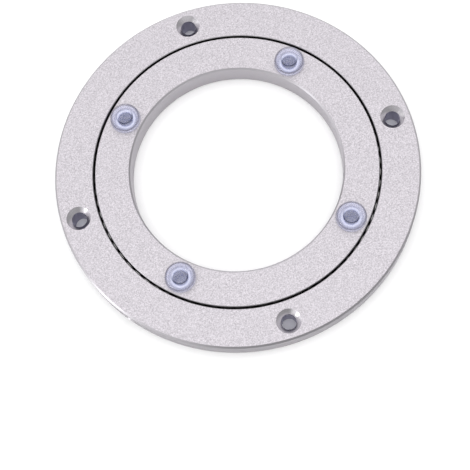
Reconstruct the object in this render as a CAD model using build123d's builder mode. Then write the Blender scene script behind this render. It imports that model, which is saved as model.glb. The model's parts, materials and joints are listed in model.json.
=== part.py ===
from build123d import *
import os
from math import cos, radians, sin

# A ring turntable: two flat aluminium rings, one inside the other, with a full row of
# steel balls between them. The inner ring stands on four clear push-in feet, and a
# tray is screwed to the outer ring, which turns.
#
# The frame: the turntable lies on the outer ring's mounting face, feet up. The origin
# is the centre of that face and +Z is the spin axis. Every size is in millimetres and
# every angle in degrees, counted from +X, where the first tray screw hole is.

# ---- Driving dimensions: rings -------------------------------------------------------
outer_diameter = 120.0
opening_diameter = 70.0
outer_ring_thickness = 8.5
inner_ring_recess = 0.3  # the inner ring clears a tray that is screwed to the outer ring
ring_gap = 0.7  # the visible slot between the rings, across its width

feet_rim_chamfer = 0.6  # outer ring, outer edge on the feet side
mounting_rim_chamfer = 1.4  # outer ring, outer edge on the tray side
opening_feet_chamfer = 0.5  # inner ring, edge of the central opening on the feet side
opening_tray_chamfer = 0.2  # inner ring, edge of the central opening on the tray side
slot_chamfer = 0.2  # both rings, the edges that border the slot

# ---- Driving dimensions: balls -------------------------------------------------------
ball_diameter = 3.969  # 5/32 inch
ball_circle_diameter = 94.0
ball_count = 74  # they fill the circle, so there is no cage
balls_in_a_group = 2
groove_clearance = 0.08  # between a ball and the groove it runs in

# ---- Driving dimensions: countersunk holes, for tray screws and for the feet ----------
hole_diameter = 5.0
countersink_diameter = 8.0
countersink_angle = 90.0
screw_count = 4
screw_circle_diameter = 108.0

# ---- Driving dimensions: ball loading hole and the screw that closes it --------------
loading_angle = -143.8
loading_hole_diameter = 5.0  # M5: a ball just passes through its thread
loading_hole_mouth_diameter = 5.8
loading_screw_length = 10.0
loading_screw_setback = 0.15  # from the bottom of the ball groove to the screw's tip
loading_screw_chamfer = 0.5
socket_across_flats = 2.5
socket_depth = 2.5

# ---- Driving dimensions: feet --------------------------------------------------------
foot_count = 4
foot_circle_diameter = 82.0
first_foot_angle = 46.5
foot_base_diameter = 10.1
foot_lip_diameter = 9.8  # the head narrows a little towards its lip
foot_height = 3.0
foot_shoulder_radius = 1.5
foot_dish_rim_diameter = 5.8
foot_dish_floor_diameter = 4.8
foot_dish_depth = 0.5
foot_dish_rim_radius = 0.35
foot_dish_floor_radius = 0.3
foot_stem_length = 6.0
foot_stem_chamfer = 0.6

# ---- Worked out from them ------------------------------------------------------------
outer_radius = outer_diameter / 2
opening_radius = opening_diameter / 2
ball_radius = ball_diameter / 2
ball_circle_radius = ball_circle_diameter / 2
ball_plane = Plane.XY.offset(outer_ring_thickness / 2)
ball_pitch_angle = 360 / ball_count
groove_radius = ball_radius + groove_clearance
slot_outer_radius = ball_circle_radius + ring_gap / 2
slot_inner_radius = ball_circle_radius - ring_gap / 2
inner_ring_thickness = outer_ring_thickness - inner_ring_recess
feet_face = Plane.XY.offset(outer_ring_thickness)
foot_seats = PolarLocations(foot_circle_diameter / 2, foot_count, start_angle=first_foot_angle)
foot_stem_radius = hole_diameter / 2
foot_dish_height = foot_height - foot_dish_depth

loading_direction = Vector(cos(radians(loading_angle)), sin(radians(loading_angle)), 0)
loading_mouth = Plane(
    origin=ball_plane.origin + loading_direction * outer_radius,
    z_dir=loading_direction,
)
loading_screw_tip_radius = ball_circle_radius + groove_radius + loading_screw_setback
loading_screw_tip = Plane(
    origin=ball_plane.origin + loading_direction * loading_screw_tip_radius,
    z_dir=loading_direction,
)


def save(piece, name):
    """Label a finished piece with its node name and write it to its own STEP file."""
    piece.label = name
    export_step(piece, f"parts/{name}.step")
    print(f"{name}: {piece.volume:.1f} mm3")


os.makedirs("parts", exist_ok=True)

# ---- Outer ring: carries the tray ----------------------------------------------------
with BuildPart() as outer_ring:
    with BuildSketch(Plane.XZ) as outer_section:
        with Locations((slot_outer_radius, 0)):
            Rectangle(
                outer_radius - slot_outer_radius,
                outer_ring_thickness,
                align=(Align.MIN, Align.MIN),
            )
        with Locations((ball_circle_radius, ball_plane.origin.Z)):
            Circle(groove_radius, mode=Mode.SUBTRACT)
    revolve(axis=Axis.Z)

    flat_faces = outer_ring.faces().filter_by(GeomType.PLANE).sort_by(Axis.Z)
    chamfer(flat_faces.last.outer_wire().edges(), length=feet_rim_chamfer)
    chamfer(flat_faces.first.outer_wire().edges(), length=mounting_rim_chamfer)
    flat_faces = outer_ring.faces().filter_by(GeomType.PLANE).sort_by(Axis.Z)
    slot_edges = flat_faces.last.inner_wires().edges() + flat_faces.first.inner_wires().edges()
    chamfer(slot_edges, length=slot_chamfer)

    with Locations(feet_face):
        with PolarLocations(screw_circle_diameter / 2, screw_count):
            CounterSinkHole(
                radius=hole_diameter / 2,
                counter_sink_radius=countersink_diameter / 2,
                counter_sink_angle=countersink_angle,
            )
    with Locations(loading_mouth):
        CounterSinkHole(
            radius=loading_hole_diameter / 2,
            counter_sink_radius=loading_hole_mouth_diameter / 2,
            depth=outer_radius - ball_circle_radius,
            counter_sink_angle=countersink_angle,
        )
save(outer_ring.part, "outer_ring")

# ---- Inner ring: stands on the feet --------------------------------------------------
with BuildPart() as inner_ring:
    with BuildSketch(Plane.XZ) as inner_section:
        with Locations((opening_radius, inner_ring_recess)):
            Rectangle(
                slot_inner_radius - opening_radius,
                inner_ring_thickness,
                align=(Align.MIN, Align.MIN),
            )
        with Locations((ball_circle_radius, ball_plane.origin.Z)):
            Circle(groove_radius, mode=Mode.SUBTRACT)
    revolve(axis=Axis.Z)

    flat_faces = inner_ring.faces().filter_by(GeomType.PLANE).sort_by(Axis.Z)
    chamfer(flat_faces.last.inner_wires().edges(), length=opening_feet_chamfer)
    chamfer(flat_faces.first.inner_wires().edges(), length=opening_tray_chamfer)
    flat_faces = inner_ring.faces().filter_by(GeomType.PLANE).sort_by(Axis.Z)
    slot_edges = flat_faces.last.outer_wire().edges() + flat_faces.first.outer_wire().edges()
    chamfer(slot_edges, length=slot_chamfer)

    with Locations(feet_face):
        with PolarLocations(foot_circle_diameter / 2, foot_count, start_angle=first_foot_angle):
            CounterSinkHole(
                radius=hole_diameter / 2,
                counter_sink_radius=countersink_diameter / 2,
                counter_sink_angle=countersink_angle,
            )
save(inner_ring.part, "inner_ring")

# ---- Loading screw: closes the hole that the balls went in by --------------------------
with BuildPart(loading_screw_tip) as loading_screw:
    Cylinder(
        radius=loading_hole_diameter / 2,
        height=loading_screw_length,
        align=(Align.CENTER, Align.CENTER, Align.MIN),
    )
    screw_axis = Axis(loading_screw_tip.origin, loading_direction)
    tip_face = loading_screw.faces().sort_by(screw_axis).first
    driven_face = loading_screw.faces().sort_by(screw_axis).last
    chamfer(tip_face.edges() + driven_face.edges(), length=loading_screw_chamfer)
    with BuildSketch(loading_screw_tip.offset(loading_screw_length)) as socket:
        RegularPolygon(radius=socket_across_flats / 2, side_count=6, major_radius=False)
    extrude(amount=-socket_depth, mode=Mode.SUBTRACT)
save(loading_screw.part, "loading_screw")

# ---- Feet: a clear head with a dished lip, and a stem pressed into the inner ring ------
for number, seat in enumerate(foot_seats, start=1):
    seat_centre = seat.position + feet_face.origin
    with BuildPart() as foot:
        with BuildSketch(Plane(origin=seat_centre, x_dir=(1, 0, 0), z_dir=(0, -1, 0))) as profile:
            with BuildLine() as outline:
                Polyline(
                    (0, -foot_stem_length),
                    (foot_stem_radius, -foot_stem_length),
                    (foot_stem_radius, 0),
                    (foot_base_diameter / 2, 0),
                    (foot_lip_diameter / 2, foot_height),
                    (foot_dish_rim_diameter / 2, foot_height),
                    (foot_dish_floor_diameter / 2, foot_dish_height),
                    (0, foot_dish_height),
                    close=True,
                )
            make_face()
            stem_corner = profile.vertices().group_by(Axis.Y)[0].sort_by(Axis.X).last
            chamfer(stem_corner, length=foot_stem_chamfer)
            dish_corner = profile.vertices().group_by(Axis.Y)[-2].sort_by(Axis.X).last
            fillet(dish_corner, radius=foot_dish_floor_radius)
            lip_corners = profile.vertices().group_by(Axis.Y)[-1].sort_by(Axis.X)
            fillet(lip_corners.last, radius=foot_shoulder_radius)
            fillet(lip_corners.first, radius=foot_dish_rim_radius)
        revolve(axis=Axis(seat_centre, (0, 0, 1)))
    save(foot.part, f"foot_{number}")

# ---- Balls: the full row, in neighbouring groups ----------------------------------------
for group in range(ball_count // balls_in_a_group):
    with BuildPart(ball_plane) as balls:
        with PolarLocations(
            ball_circle_radius,
            balls_in_a_group,
            start_angle=group * balls_in_a_group * ball_pitch_angle,
            angular_range=balls_in_a_group * ball_pitch_angle,
        ):
            Sphere(ball_radius)
    save(balls.part, f"bearing_balls_{group + 1:02d}")
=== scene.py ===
# %% [markdown]
# # A ring turntable in aluminium, steel and clear plastic
#
# A lazy susan of this kind is two flat rings, one inside the other, with a full row of
# steel balls between them. It lies here upside down, as it comes out of its box: the
# four clear feet point up and the tray side is on the table.
#
# The rings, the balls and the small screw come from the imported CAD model, already in
# their places, so this lesson is about their finishes. Only the feet are made again,
# because clear plastic shows every facet of its mesh.

# %% Load the frame
import json
from math import cos, pi, radians, sin

import bmesh
import bpy
from mathutils import Matrix, Vector


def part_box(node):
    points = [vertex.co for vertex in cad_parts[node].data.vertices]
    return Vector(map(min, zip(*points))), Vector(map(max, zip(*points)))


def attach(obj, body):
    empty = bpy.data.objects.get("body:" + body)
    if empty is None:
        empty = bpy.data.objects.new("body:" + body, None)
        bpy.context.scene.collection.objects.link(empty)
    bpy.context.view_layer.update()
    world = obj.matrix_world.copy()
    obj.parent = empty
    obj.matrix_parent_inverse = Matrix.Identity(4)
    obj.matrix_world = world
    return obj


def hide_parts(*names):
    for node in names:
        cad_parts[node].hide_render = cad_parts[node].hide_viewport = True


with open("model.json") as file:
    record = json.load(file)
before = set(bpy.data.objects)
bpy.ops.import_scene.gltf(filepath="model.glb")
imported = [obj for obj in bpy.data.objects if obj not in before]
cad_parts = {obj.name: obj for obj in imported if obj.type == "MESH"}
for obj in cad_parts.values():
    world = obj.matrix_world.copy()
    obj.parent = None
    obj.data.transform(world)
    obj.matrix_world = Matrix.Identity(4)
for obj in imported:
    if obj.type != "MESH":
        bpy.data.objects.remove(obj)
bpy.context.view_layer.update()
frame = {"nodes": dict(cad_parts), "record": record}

MM = 0.001
scene = bpy.context.scene
nodes = frame["nodes"]

# %% [markdown]
# ## Measures
#
# Heights and radii are read from the boxes of the CAD nodes and from the mounts that the
# record states. A number that is typed twice will sooner or later disagree with itself,
# and a number that is read from the model follows it when the model is changed. Only
# the countersinks' radius has to be typed, because no box or mount gives it.

# %% Read the rings' measures
outer_low, outer_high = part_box("outer_ring")
inner_low, inner_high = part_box("inner_ring")
ball_low, ball_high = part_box("bearing_balls_01")
mounts = {mount["name"]: mount for mount in frame["record"]["mounts"]}

outer_radius = outer_high.x
opening_radius = mounts["centre_opening"]["dims"]["r_mm"] * MM
screw_circle = mounts["tray_screws"]["dims"]["pcd_mm"] / 2 * MM
hole_radius = mounts["tray_screws"]["dims"]["hole_r_mm"] * MM
countersink_radius = 4.0 * MM
feet_face_height = outer_high.z
ball_height = (ball_low.z + ball_high.z) / 2
ball_radius = (ball_high.z - ball_low.z) / 2
ball_circle = ball_high.x - ball_radius  # the first ball lies on the X axis
slot_half_width = ball_circle - inner_high.x
print(f"outer radius {outer_radius / MM:.1f} mm, feet face at {feet_face_height / MM:.1f} mm")
print(f"ball circle {ball_circle / MM:.1f} mm, half the slot {slot_half_width / MM:.2f} mm")

# %% [markdown]
# ## The camera
#
# The camera looks steeply down on the feet side, with a little roll, from about three
# diameters away. It could be placed by dragging it, but three angles, a distance and
# the point it looks at say the same thing in a way that can be read and checked. The
# point is on the feet face, because that is the plane most of the object lies in.

# %% Camera
view_azimuth = -5.48
view_elevation = 73.25
view_roll = 12.80
view_distance = 362.06 * MM
aim_right = -0.40 * MM
aim_up = -22.15 * MM
focal_length = 84.83  # in millimetres, on a sensor that is 36 mm wide

camera_data = bpy.data.cameras.new("camera")
camera_data.lens = focal_length
camera = bpy.data.objects.new("camera", camera_data)
scene.collection.objects.link(camera)
scene.camera = camera

turn = Matrix.Rotation(radians(view_azimuth), 3, "Z")
tilt = Matrix.Rotation(radians(90 - view_elevation), 3, "X")
roll = Matrix.Rotation(radians(-view_roll), 3, "Z")
facing = turn @ tilt @ roll
aim = facing @ Vector((aim_right, aim_up, 0)) + Vector((0, 0, feet_face_height))
camera.matrix_world = facing.to_4x4()
camera.location = aim + facing @ Vector((0, 0, view_distance))
camera_data.clip_start = 0.01
print("camera at", [round(value / MM, 1) for value in camera.location], "mm")

# %% [markdown]
# ## Shader maths as plain sums
#
# A material's node tree is a sum written as boxes and wires. It is easier to read as
# Python. `Wire` wraps one socket and teaches it to add, subtract and multiply, also
# with the number on the left, so that `1 - mask` adds its Math node. `Finish` is a
# material with one method, `node`, for every other kind of node: first the type, then
# its settings, then the values or links of its sockets.

# %% Wire
class Wire:
    """One output socket; sums on it add Math nodes to its tree."""

    def __init__(self, tree, socket):
        self.tree = tree
        self.socket = socket

    def math(self, operation, *values, clamp=False):
        made = self.tree.nodes.new("ShaderNodeMath")
        made.operation = operation
        made.use_clamp = clamp
        for socket, value in zip(made.inputs, values):
            connect(self.tree, socket, value)
        return Wire(self.tree, made.outputs["Value"])

    def __add__(self, other):
        return self.math("ADD", self, other)

    def __radd__(self, other):
        return self.math("ADD", other, self)

    def __sub__(self, other):
        return self.math("SUBTRACT", self, other)

    def __rsub__(self, other):
        return self.math("SUBTRACT", other, self)

    def __mul__(self, other):
        if isinstance(other, tuple):
            return self.stretched(other)
        return self.math("MULTIPLY", self, other)

    def __rmul__(self, other):
        return self.math("MULTIPLY", other, self)

    def __abs__(self):
        return self.math("ABSOLUTE", self)

    def stretched(self, shares):
        """A vector with its x, y and z multiplied by three numbers."""
        made = self.tree.nodes.new("ShaderNodeVectorMath")
        made.operation = "MULTIPLY"
        connect(self.tree, made.inputs[0], self)
        connect(self.tree, made.inputs[1], shares)
        return Wire(self.tree, made.outputs["Vector"])

    def squared(self):
        return self.math("MULTIPLY", self, self)

    def root(self):
        return self.math("SQRT", self)

    def between(self, low, high):
        """0 below low, 1 above high, and a straight ramp between them."""
        return self.math("MULTIPLY", self - low, 1 / (high - low), clamp=True)


def connect(tree, socket, value):
    """Link a wire to a socket, or set the socket to a plain value."""
    if isinstance(value, Wire):
        tree.links.new(value.socket, socket)
    else:
        socket.default_value = value


# %% Graph
class Graph:
    """A node tree, of a material or of the world, with a method for each thing it needs."""

    def __init__(self, tree):
        self.tree = tree

    def node(self, kind, settings, sockets, take=None):
        """Add a node: its type, its settings, its sockets' values, and the output to take."""
        made = self.tree.nodes.new("ShaderNode" + kind)
        for name, value in settings.items():
            setattr(made, name, value)
        named = {socket.identifier: socket for socket in made.inputs}
        for name, value in sockets.items():
            connect(self.tree, named[name], value)
        outputs = {socket.identifier: socket for socket in made.outputs}
        return Wire(self.tree, outputs[take] if take else made.outputs[0])

    def parts_of(self, vector):
        """The x, y and z of a vector."""
        return [self.node("SeparateXYZ", {}, {"Vector": vector}, take=axis) for axis in "XYZ"]

    def towards(self, vector, direction):
        """How much a vector points in a direction, from -1 to 1."""
        sockets = {"Vector": vector, "Vector_001": direction}
        return self.node("VectorMath", {"operation": "DOT_PRODUCT"}, sockets, take="Value")

    def noise(self, vector, size, detail=2.0, roughness=0.5):
        """A cloudy pattern whose clouds are about size metres across, from 0 to 1."""
        sockets = {"Vector": vector, "Scale": 1 / size, "Detail": detail, "Roughness": roughness}
        return self.node("TexNoise", {}, sockets, take="Fac")

    def blend(self, factor, first, second):
        """Colour first where factor is 0, and second where it is 1."""
        sockets = {"Factor_Float": factor, "A_Color": first, "B_Color": second}
        return self.node("Mix", {"data_type": "RGBA"}, sockets, take="Result_Color")

    def bump(self, height, depth):
        """Tilt the surface's normal as if height, from 0 to 1, stood depth metres high."""
        sockets = {"Height": height, "Distance": depth, "Strength": 1.0}
        return self.node("Bump", {}, sockets, take="Normal")


class Finish(Graph):
    """A node-based material for one of the turntable's surfaces."""

    def __init__(self, name, **constants):
        self.material = bpy.data.materials.new(name)
        self.material.use_nodes = True
        super().__init__(self.material.node_tree)
        self.surface = self.tree.nodes["Principled BSDF"]
        self.set(**constants)

    def set(self, **values):
        """Set or link sockets of the surface shader, such as base_color=."""
        for name, value in values.items():
            title = name.replace("_", " ").title().replace("Ior", "IOR")
            connect(self.tree, self.surface.inputs[title], value)

    def place(self):
        """Where a point is on the object, in metres."""
        return self.node("TexCoord", {}, {}, take="Object")


def grey(level):
    """A plain grey, as the four numbers of a colour socket."""
    return (level, level, level, 1.0)


print("shader helpers are ready")

# %% [markdown]
# ## Blasted aluminium with bright edges
#
# The rings are turned from plate, blasted with fine beads and anodised, which gives the
# even, sparkling grey of a laptop's lid. The walls keep fine lines from the lathe. The
# small chamfers and the countersinks are cut last, so they are smooth and mirror the
# room. The slot with its ball groove is painted near black, as painted shade down in the
# slot, with some oil there too.
#
# Each of these could be a material on its own set of faces, but the CAD node is one mesh
# and stays as it is. Instead, masks pick the surfaces out. A face that is cut at 45
# degrees gives itself away by its normal, and so does a wall. The distance from the spin
# axis tells the opening, the slot and the screw holes apart. The lathe's lines are a
# noise pattern that is stretched fifty times across and along, so it runs round a wall.

# %% Shades of the metal
blasted_dark, blasted_light = (0.295, 0.280, 0.298, 1), (0.61, 0.58, 0.618, 1)
blasted_cloud = (0.47, 0.45, 0.48, 1)
turned_dark, turned_light = (0.27, 0.258, 0.276, 1), (0.45, 0.430, 0.460, 1)
# the bore's wall and chamfer and the screw holes' walls are painted lighter than the other turned
# walls and cut edges: painted light against their shade
opening_wall_painted_light, opening_chamfer_painted_light = (0.44, 0.421, 0.449, 1), (0.45, 0.435, 0.46, 1)
hole_wall_painted_light, countersink = (0.44, 0.43, 0.52, 1), (0.50, 0.485, 0.51, 1)
rim_chamfer = (0.345, 0.333, 0.352, 1)
# slot_shade is painted shade: the slot and its groove are painted near black, with some oil there
# too
slot_shade = (0.022, 0.021, 0.021, 1)
print("the blasted faces run from", blasted_dark[0], "to", blasted_light[0])

# %% Blasted aluminium
def blasted_aluminium(name):
    """Grey bead-blasted metal, smooth where it is cut at 45 degrees, with painted shade in the
    slot.
    """
    finish = Finish(name, metallic=1.0)
    place = finish.place()
    across, along, up = finish.parts_of(place)
    normal = finish.node("NewGeometry", {}, {}, take="Normal")
    rise = abs(finish.parts_of(normal)[2])
    cut = 1 - abs(rise - cos(pi / 4)).between(0.04, 0.10)
    wall = 1 - rise.between(0.10, 0.30)

    from_axis = (across.squared() + along.squared()).root()
    opening = 1 - from_axis.between(opening_radius + 0.3 * MM, opening_radius + 0.6 * MM)
    from_screws = abs(from_axis - screw_circle)
    screwed = 1 - from_screws.between(countersink_radius + 0.3 * MM, countersink_radius + 0.6 * MM)
    from_row = ((from_axis - ball_circle).squared() + (up - ball_height).squared()).root()
    groove = 1 - from_row.between(1.05 * ball_radius, 1.15 * ball_radius)
    from_slot = abs(from_axis - ball_circle)
    slot = 1 - from_slot.between(slot_half_width, slot_half_width + 0.05 * MM)
    # painted shade: the slot's walls and the ball groove are painted near black
    painted_slot_shade_mask = 1 - (1 - groove) * (1 - slot * wall)

    grain = finish.noise(place, size=0.42 * MM, detail=3.0, roughness=0.75)
    pits = finish.noise(place, size=0.12 * MM, detail=2.0)
    cloud = finish.noise(place, size=9.0 * MM, detail=3.0)
    blasted = finish.blend(grain.between(0.34, 0.66), blasted_dark, blasted_light)
    faces = finish.blend(cloud.between(0.3, 0.7) * 0.2, blasted, blasted_cloud)

    lines = finish.noise(place * (0.02, 0.02, 1.0), size=0.25 * MM, detail=3.0)
    turned = finish.blend(lines.between(0.3, 0.7), turned_dark, turned_light)
    # painted light: the bore's wall and the screw holes' walls are lighter than the other turned
    # walls
    turned_with_painted_light_bore = finish.blend(opening, turned, opening_wall_painted_light)
    walls = finish.blend(screwed, turned_with_painted_light_bore, hole_wall_painted_light)

    rims = finish.blend(screwed, rim_chamfer, countersink)
    edges = finish.blend(opening, rims, opening_chamfer_painted_light)
    seen = finish.blend(cut, finish.blend(wall, faces, walls), edges)
    colour = finish.blend(painted_slot_shade_mask, seen, slot_shade)

    blasted_rough = 0.46 + 0.12 * grain
    cut_rough = 0.32 - screwed * 0.12
    rough = blasted_rough + cut * (cut_rough - blasted_rough)
    bump = finish.bump((grain * 0.6 + pits * 0.4) * (1 - cut), depth=0.012 * MM)
    finish.set(base_color=colour, roughness=rough, normal=bump)
    return finish.material


ring_metal = blasted_aluminium("blasted_aluminium")
print("made", ring_metal.name)

# %% [markdown]
# ## Ball steel
#
# Bearing balls are ground and lapped until they are mirrors. Real ones in use carry a
# thin film of grease that softens the mirror here and there. They lie in a slot that is
# narrower than they are, and read as dark beads with one glint each, so their colour is
# painted darker than that of a bare ball in the open, as shade for the little light that
# gets down to them.

# %% Ball steel
def ball_steel(name):
    """Polished steel under a thin, uneven film of grease, painted darker as shade in the slot."""
    finish = Finish(name, metallic=1.0, coat_roughness=0.2, coat_ior=1.45)
    place = finish.place()
    film = finish.noise(place, size=1.6 * MM, detail=2.0).between(0.35, 0.70)
    # both shades are painted darker than steel, as shade for the slot the balls lie in
    bare_in_painted_shade, greased_in_painted_shade = (0.20, 0.20, 0.205, 1), (0.12, 0.115, 0.11, 1)
    colour = finish.blend(film, bare_in_painted_shade, greased_in_painted_shade)
    finish.set(base_color=colour, roughness=0.08 + 0.14 * film, coat_weight=film * 0.4)
    return finish.material


ball_metal = ball_steel("ball_steel")
print("made", ball_metal.name)

# %% [markdown]
# ## Black oxide on the loading screw
#
# The balls go in by a threaded hole in the outer ring's edge, and a small socket screw
# closes it. Such screws have a black oxide skin that rubs through to grey steel.

# %% Black screw steel
def blackened_steel(name):
    """A thin black skin on steel, worn to grey in patches."""
    finish = Finish(name, metallic=1.0)
    place = finish.place()
    worn = finish.noise(place, size=0.8 * MM, detail=4.0).between(0.52, 0.66)
    fine = finish.noise(place, size=0.1 * MM, detail=2.0)
    black_skin, grey_steel = (0.035, 0.034, 0.036, 1), (0.20, 0.19, 0.18, 1)
    colour = finish.blend(worn * 0.6, black_skin, grey_steel)
    bump = finish.bump(fine, depth=0.004 * MM)
    finish.set(base_color=colour, roughness=0.38 + 0.12 * fine, normal=bump)
    return finish.material


screw_metal = blackened_steel("blackened_steel")
print("made", screw_metal.name)

# %% [markdown]
# ## Give the CAD nodes their finishes
#
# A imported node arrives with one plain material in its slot, named in the record. The
# finish replaces it in the object's material slot, and the mesh isn't touched.

# %% Assign the finishes
finish_of_kind = {
    "outer_ring": ring_metal,
    "inner_ring": ring_metal,
    "loading_screw": screw_metal,
    "bearing_balls": ball_metal,
}
for name, node in nodes.items():
    for kind, finish in finish_of_kind.items():
        if name.startswith(kind):
            node.data.materials.clear()
            node.data.materials.append(finish)
print("finished:", ", ".join(finish_of_kind))

# %% [markdown]
# ## The clear feet
#
# Each foot is moulded in soft clear plastic: a head with a round shoulder and a shallow
# flat dish in its middle, on a stem that is pushed into the ring. A foot could be carved
# with a bevel on a cylinder, but its whole shape is one outline turned about its axis,
# so it is made as on a lathe: the outline is a list of points, and arcs join its runs.
#
# Clear plastic that touches metal face to face confuses the light paths, so the foot
# keeps a hair's breadth of air below its head and round its stem.

# %% Turn an outline about an axis
def arc(centre_r, centre_z, radius, start, end, steps):
    """Points of an arc in the outline's plane, from one angle to another in degrees."""
    angles = [radians(start + (end - start) * step / steps) for step in range(steps + 1)]
    return [(centre_r + radius * cos(a), centre_z + radius * sin(a)) for a in angles]


def lathe(name, outline, centre, finish, sides=128):
    """Turn a closed outline of (radius, height) points, in metres, about a vertical axis."""
    mesh = bpy.data.meshes.new(name)
    build = bmesh.new()
    loops = []
    for radius, height in outline:
        turns = sides if radius > 1e-7 else 1
        spots = [2 * pi * side / sides for side in range(turns)]
        loops.append([build.verts.new((radius * cos(a), radius * sin(a), height)) for a in spots])
    for lower, upper in zip(loops, loops[1:]):
        for side in range(sides):
            after = (side + 1) % sides
            corners = [lower[side % len(lower)], upper[side % len(upper)]]
            corners += [upper[after % len(upper)], lower[after % len(lower)]]
            build.faces.new(dict.fromkeys(corners))
    bmesh.ops.recalc_face_normals(build, faces=build.faces[:])
    build.to_mesh(mesh)
    build.free()
    mesh.shade_smooth()
    mesh.set_sharp_from_angle(angle=radians(35))
    mesh.materials.append(finish)
    piece = bpy.data.objects.new(name, mesh)
    piece.location = centre
    scene.collection.objects.link(piece)
    return piece


print("lathe is ready")

# %% [markdown]
# ## Clear plastic
#
# The plastic is clear with a cool violet haze. Through the head of a real foot one sees
# what lies under it: the bright cone of the countersink as a ring, and inside it the
# dark hole with the stem as a disc. Its steep shoulder bends light so far that it looks
# dark from the side, and a dark line shows where the foot meets the metal.
#
# A shader that only refracts leaves all that to a few lucky light paths in a small
# picture. So the light and shade are painted here. The underside of the head carries a
# painted highlight as the ring, for the lit cone, and painted shade as the disc, for the
# dark hole. The head above it is a thin see-through haze, Layer Weight paints shade on
# the shoulder where thick glass looks dark, and a painted shadow line runs round the
# foot where it meets the metal. Alpha decides how much of each is seen. Object
# coordinates of a foot start on its own axis, at the face that it stands on.

# %% Shades and alphas of the plastic
haze, haze_alpha = (0.74, 0.75, 0.97, 1), 0.25
# disc is painted shade for the dark hole below the head, and ring a painted highlight for the lit
# countersink cone
painted_shade_disc, disc_alpha = (0.16, 0.20, 0.46, 1), 0.85
painted_light_ring, ring_alpha = (0.70, 0.72, 0.90, 1), 0.92
band, band_alpha = (0.62, 0.63, 0.85, 1), 0.40
# edge is painted shade: the shoulder dark as thick glass looks, and a shadow line at the foot's
# base
painted_edge_shade, edge_alpha = (0.06, 0.06, 0.10, 1), 0.46
print("the ring below the head covers", ring_alpha, "and the haze above it", haze_alpha)

# %% Clear plastic
def clear_plastic(name, head_radius, shoulder_height):
    """Clear vinyl with a violet haze, a painted highlight for the countersink seen through it, and
    painted shade for the hole, the shoulder and the base.
    """
    finish = Finish(name, transmission_weight=0.2, ior=1.45, coat_roughness=0.04)
    place = finish.place()
    across, along, up = finish.parts_of(place)
    radius = (across.squared() + along.squared()).root()
    ripple = finish.noise(place, size=1.8 * MM, detail=2.0)
    wavy = radius + (ripple - 0.5) * (0.35 * MM)

    # below the head: painted shade over the hole and a painted highlight over the countersink
    past_disc = wavy.between(hole_radius - 0.1 * MM, hole_radius + 0.4 * MM)
    past_ring = wavy.between(countersink_radius - 1.0 * MM, countersink_radius - 0.3 * MM)
    below = finish.blend(past_ring, finish.blend(past_disc, painted_shade_disc, painted_light_ring), band)
    below_alpha = disc_alpha + past_disc * (ring_alpha - disc_alpha)
    below_alpha = below_alpha - past_ring * (ring_alpha - band_alpha)

    head = up.between(0.25 * MM, 0.45 * MM)
    colour = finish.blend(head, below, haze)
    alpha = below_alpha + head * (haze_alpha - below_alpha)

    # painted shade on the shoulder where it turns from view, and a painted shadow line round the
    # base
    shoulder_low, shoulder_high = shoulder_height - 0.2 * MM, shoulder_height + 0.1 * MM
    facing = finish.node("LayerWeight", {}, {"Blend": 0.5}, take="Facing")
    painted_shoulder_shade = facing.between(0.12, 0.30) * up.between(shoulder_low, shoulder_high)
    rim = radius.between(head_radius - 0.2 * MM, head_radius - 0.1 * MM)
    painted_base_shadow = (1 - up.between(0.1 * MM, 0.3 * MM)) * rim
    painted_shade_amount = painted_shoulder_shade + painted_base_shadow * 0.8
    colour = finish.blend(painted_shade_amount, colour, painted_edge_shade)
    alpha = alpha + painted_shade_amount * (edge_alpha - alpha)

    bump = finish.bump(ripple, depth=0.05 * MM)
    rough = 0.03 + 0.03 * ripple
    finish.set(base_color=colour, alpha=alpha, roughness=rough, coat_weight=1 - painted_shade_amount, normal=bump)
    return finish.material


foot_low, foot_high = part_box("foot_1")
shoulder_round = 1.5 * MM
foot_plastic = clear_plastic(
    "clear_plastic",
    head_radius=(foot_high.x - foot_low.x) / 2,
    shoulder_height=foot_high.z - inner_high.z - shoulder_round,
)
print("made", foot_plastic.name)

# %% [markdown]
# ## The outline of a foot
#
# The outline runs up the stem, out under the head, round the shoulder and down into the
# dish. The centre of a round that breaks a 45 degree corner stands beside that corner by
# 0.4 of the round's radius, which is where the 0.14 and 0.12 below come from.

# %% Outline
air = 0.03 * MM
stem_chamfer = 0.6 * MM
base_round = 0.15 * MM
lip_inset = 0.15 * MM
dish_rim, rim_round = 2.9 * MM, 0.35 * MM
dish_floor, floor_round = 2.4 * MM, 0.3 * MM
dish_depth = 0.5 * MM


def foot_outline(head_radius, top, stem_radius, stem_length):
    """The closed outline of a foot, up from the tip of its stem and in to its dish."""
    base = head_radius - base_round
    lip = head_radius - lip_inset - shoulder_round
    dish = top - dish_depth
    outline = [
        (0, -stem_length),
        (stem_radius - stem_chamfer, -stem_length),
        (stem_radius, stem_chamfer - stem_length),
        (stem_radius, air),
        (base, air),
    ]
    outline += arc(base, air + base_round, base_round, -90, 0, 4)
    outline += arc(lip, top - shoulder_round, shoulder_round, 4, 90, 14)
    outline += arc(dish_rim + 0.14 * MM, top - rim_round, rim_round, 90, 135, 6)
    outline += arc(dish_floor - 0.12 * MM, dish + floor_round, floor_round, -45, -90, 6)
    outline.append((0, dish))
    return outline


print("the dish is", round(dish_depth / MM, 2), "mm deep")


# %% Turn the four feet
for number in range(1, 5):
    low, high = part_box(f"foot_{number}")
    axis = (low + high) / 2
    axis.z = inner_high.z
    outline = foot_outline(
        head_radius=(high.x - low.x) / 2,
        top=high.z - inner_high.z,
        stem_radius=hole_radius - air,
        stem_length=inner_high.z - low.z,
    )
    foot = lathe(f"clear_foot_{number}", outline, axis, foot_plastic)
    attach(foot, "inner_ring_on_feet")
    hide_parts(f"foot_{number}")
    print(foot.name, "has", len(foot.data.polygons), "faces")

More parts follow.
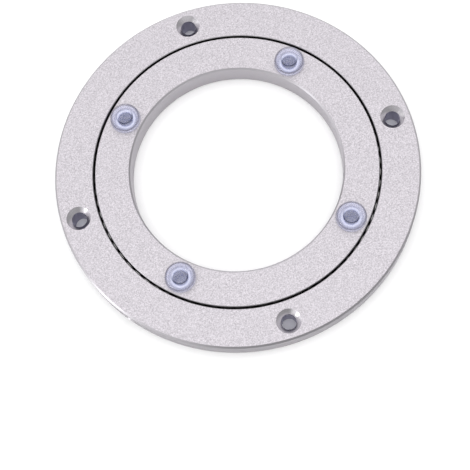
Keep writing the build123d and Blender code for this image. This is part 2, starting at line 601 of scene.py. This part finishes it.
# %% [markdown]
# ## The studio
#
# Bright metal is best shown in a white tent, with one soft light to a side. Here the
# tent is a pale world with a bright roof and a bright band low on the left, the floor
# is a wide matt sheet, and the soft light stands low on the left, where the cut edges
# mirror it. The floor lies a hair below the mounting face, because two faces in one
# plane flicker.

# %% Floor
floor_mesh = bpy.data.meshes.new("floor")
reach = 4.0
below = -0.05 * MM
corners = [(-reach, -reach), (reach, -reach), (reach, reach), (-reach, reach)]
corners = [(x, y, below) for x, y in corners]
floor_mesh.from_pydata(corners, [], [(0, 1, 2, 3)])
floor = bpy.data.objects.new("floor", floor_mesh)
scene.collection.objects.link(floor)
floor_finish = Finish("floor_sheet", base_color=grey(0.92), roughness=0.9)
floor_mesh.materials.append(floor_finish.material)
print("floor is", 2 * reach, "m wide")

# %% The tent
roof_strength, wall_strength = 1.85, 0.55
left_gain, front_loss = 1.35, 0.05

tent = bpy.data.worlds.new("tent")
tent.use_nodes = True
scene.world = tent
room = Graph(tent.node_tree)
direction = room.node("TexCoord", {}, {}, take="Generated")
height = abs(room.parts_of(direction)[2])
roof = height.between(0.35, 0.75)
low = 1 - height.between(0.16, 0.34)
left = room.towards(direction, (-0.98, -0.17, 0.0)).between(0.55, 0.85) * low
front = room.towards(direction, (0.0, -1.0, 0.0)).between(0.70, 0.95)
walls = wall_strength + left * left_gain - front * front_loss
strength = roof * roof_strength + (1 - roof) * walls
cloth = tent.node_tree.nodes["Background"]
cloth.inputs["Color"].default_value = grey(1.0)
connect(room.tree, cloth.inputs["Strength"], strength)
print("the tent's walls give", wall_strength, "and its roof", roof_strength)


# %% A soft light
def soft_light(name, azimuth, elevation, distance, size, power):
    """A square soft light that faces the object; azimuth 0 is in front, 90 to the right."""
    data = bpy.data.lights.new(name, "AREA")
    data.size = size
    data.energy = power
    light = bpy.data.objects.new(name, data)
    flat = cos(radians(elevation)) * distance
    side, front = sin(radians(azimuth)) * flat, -cos(radians(azimuth)) * flat
    light.location = (side, front, sin(radians(elevation)) * distance)
    light.rotation_euler = (-light.location).to_track_quat("-Z", "Y").to_euler()
    scene.collection.objects.link(light)


soft_light("key", azimuth=-76, elevation=8, distance=0.8, size=0.2, power=0.7)
scene.view_settings.view_transform = "Standard"
print("lights are on")
